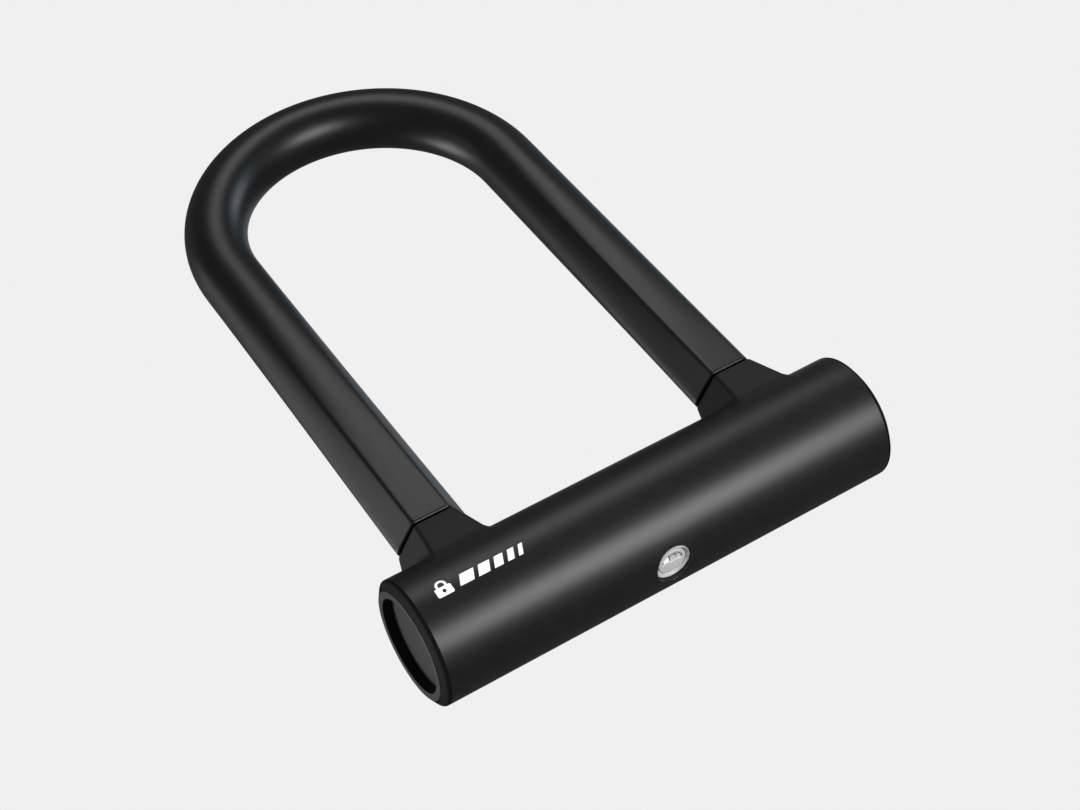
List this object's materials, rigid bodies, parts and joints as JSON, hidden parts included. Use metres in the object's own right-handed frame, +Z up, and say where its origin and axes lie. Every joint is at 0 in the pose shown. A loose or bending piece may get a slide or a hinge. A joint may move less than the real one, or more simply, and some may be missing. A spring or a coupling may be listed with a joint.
{
  "type": "u lock",
  "caption": "Bicycle U lock: a coated steel shackle, six-sided at its feet, seated in the collars of a round black crossbar with a bright keyhole.",
  "frame": {"origin": "middle of the crossbar's axis", "axes": "+X along the crossbar, +Y from the crossbar towards the shackle's bend, +Z up as the lock lies flat"},
  "size_m": [0.1598, 0.2456, 0.04],
  "materials": {
    "satin_black_coat": "satin black coat",
    "collar_plastic": "satin moulded black",
    "shackle_coat": "satin moulded black",
    "cap_plastic": "satin moulded dark grey",
    "seal_rubber": "matt",
    "hardened_steel": "ground, dull grey",
    "plated_steel": "zinc plated",
    "die_cast_alloy": "as cast",
    "cylinder_brass": "turned",
    "bright_chrome": "polished"
  },
  "bodies": {
    "crossbar": {"crossbar_sleeve": "satin_black_coat", "crossbar_tube": "hardened_steel", "collar_left": "collar_plastic", "collar_right": "collar_plastic", "foot_seal_left": "seal_rubber", "foot_seal_right": "seal_rubber", "leg_socket_left": "hardened_steel", "leg_socket_right": "hardened_steel", "end_cap_left": "cap_plastic", "end_cap_right": "cap_plastic", "end_disc_left": "cap_plastic", "end_disc_right": "cap_plastic", "cap_screws": "plated_steel", "end_block_left": "hardened_steel", "end_block_right": "hardened_steel", "end_block_pins": "plated_steel", "chassis": "die_cast_alloy", "chassis_cover": "die_cast_alloy", "cylinder_shell": "cylinder_brass", "bezel_ring": "bright_chrome", "cylinder_pin": "plated_steel"},
    "plug": {"cylinder_plug": "bright_chrome", "plug_tail": "cylinder_brass", "tumbler_discs": "cylinder_brass", "disc_spacers": "plated_steel", "sidebar": "plated_steel", "cam_disc": "plated_steel", "shutter_springs": "plated_steel"},
    "shutter": {"keyway_shutter": "bright_chrome"},
    "left_bolt": {"bolt_left": "hardened_steel", "bolt_pin_left": "plated_steel"},
    "right_bolt": {"bolt_right": "hardened_steel", "bolt_pin_right": "plated_steel"},
    "shackle": {"shackle_core": "hardened_steel", "shackle_cover": "shackle_coat"}
  },
  "joints": [
    {"name": "shackle_slide", "type": "slide", "parent": "crossbar", "child": "shackle", "axis": [0, 1, 0], "range_m": [0, 0.06]},
    {"name": "plug_turn", "type": "hinge", "parent": "crossbar", "child": "plug", "pos_m": [-0.0014, 0, 0.0025], "axis": [0, 1, 0], "range_deg": [0, 90]},
    {"name": "shutter_push", "type": "slide", "parent": "plug", "child": "shutter", "axis": [0, 1, 0], "range_m": [0, 0.0022], "stiffness_N_per_m": 100, "springref_m": -0.003, "deforming": ["shutter_springs"]},
    {"name": "left_bolt_slide", "type": "slide", "parent": "crossbar", "child": "left_bolt", "axis": [-1, 0, 0], "range_m": [0, 0.004]},
    {"name": "right_bolt_slide", "type": "slide", "parent": "crossbar", "child": "right_bolt", "axis": [1, 0, 0], "range_m": [0, 0.004]}
  ],
  "couplings": [
    {"joint": "plug_turn", "follows": "left_bolt_slide", "rad_per_m": 392.69},
    {"joint": "right_bolt_slide", "follows": "left_bolt_slide", "ratio": 1}
  ]
}
